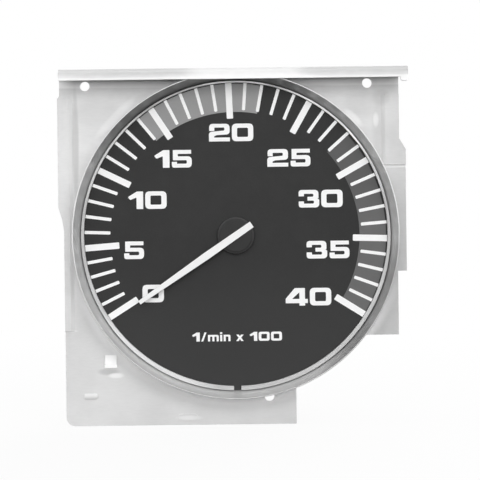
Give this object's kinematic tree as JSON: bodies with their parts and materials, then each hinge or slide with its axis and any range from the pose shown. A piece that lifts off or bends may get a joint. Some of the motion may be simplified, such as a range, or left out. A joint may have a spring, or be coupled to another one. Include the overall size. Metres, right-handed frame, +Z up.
{
  "type": "tachometer",
  "caption": "Panel-insert rev counter: deep-drawn round pot in a pressed sheet carrier plate, recessed dial with a split retaining ring and a pivoting bar pointer.",
  "frame": {"origin": "on the pointer axis, at the carrier plate's rear face, which seats on the panel", "axes": "+X to the right as the dial is read, +Z up the dial, +Y along the pointer axis to the rear"},
  "size_m": [0.1151, 0.056, 0.1169],
  "materials": {
    "plate_steel": "pressed sheet, satin zinc plate",
    "pot_steel": "deep-drawn sheet, satin",
    "dial_charcoal": "matt charcoal paint",
    "print_white": "screen-printed white",
    "print_light_grey": "screen-printed light grey",
    "print_dark_grey": "screen-printed dark grey",
    "ring_bright": "bright spring steel",
    "pointer_white": "white paint on stamped aluminium sheet",
    "hub_black": "moulded, matt",
    "spindle_steel": "ground",
    "magnet_grey": "bonded magnet",
    "brass": "turned or stamped",
    "former_black": "moulded",
    "winding_copper": "enamelled copper wire",
    "shield_grey": "soft magnetic sheet",
    "board_green": "solder mask on glass laminate",
    "chip_black": "moulded, with tinned pins",
    "capacitor_blue": "sleeved can",
    "resistor_tan": "lacquered",
    "trimmer_blue": "moulded",
    "screw_zinc": "zinc plate",
    "block_black": "moulded",
    "tab_brass": "stamped"
  },
  "bodies": {
    "case": {"carrier_plate": "plate_steel", "instrument_pot": "pot_steel", "dial_plate": "dial_charcoal", "scale_marks": "print_white", "economy_band": "print_light_grey", "overspeed_band": "print_dark_grey", "retaining_ring": "ring_bright", "stop_pins": "brass", "front_bearing": "brass", "bearing_bridge": "brass", "rear_bearing": "brass", "coil_former_front": "former_black", "coil_former_rear": "former_black", "inner_coil": "winding_copper", "outer_coil": "winding_copper", "shield_can": "shield_grey", "circuit_board": "board_green", "driver_chip": "chip_black", "capacitors": "capacitor_blue", "resistors": "resistor_tan", "diode": "chip_black", "calibration_trimmer": "trimmer_blue", "board_standoffs": "brass", "board_screws": "screw_zinc", "rear_screws": "screw_zinc", "terminal_block": "block_black", "terminal_tabs": "tab_brass"},
    "pointer_shaft": {"pointer": "pointer_white", "pointer_hub": "hub_black", "spindle": "spindle_steel", "rotor_magnet": "magnet_grey", "stop_arm": "brass"}
  },
  "joints": [
    {"name": "pointer_turn", "type": "hinge", "parent": "case", "child": "pointer_shaft", "pos_m": [0, -0.005, 0], "axis": [0, 1, 0], "range_deg": [0, 249], "stiffness_Nm_per_rad": 0.00002, "springref_deg": -20.05}
  ]
}
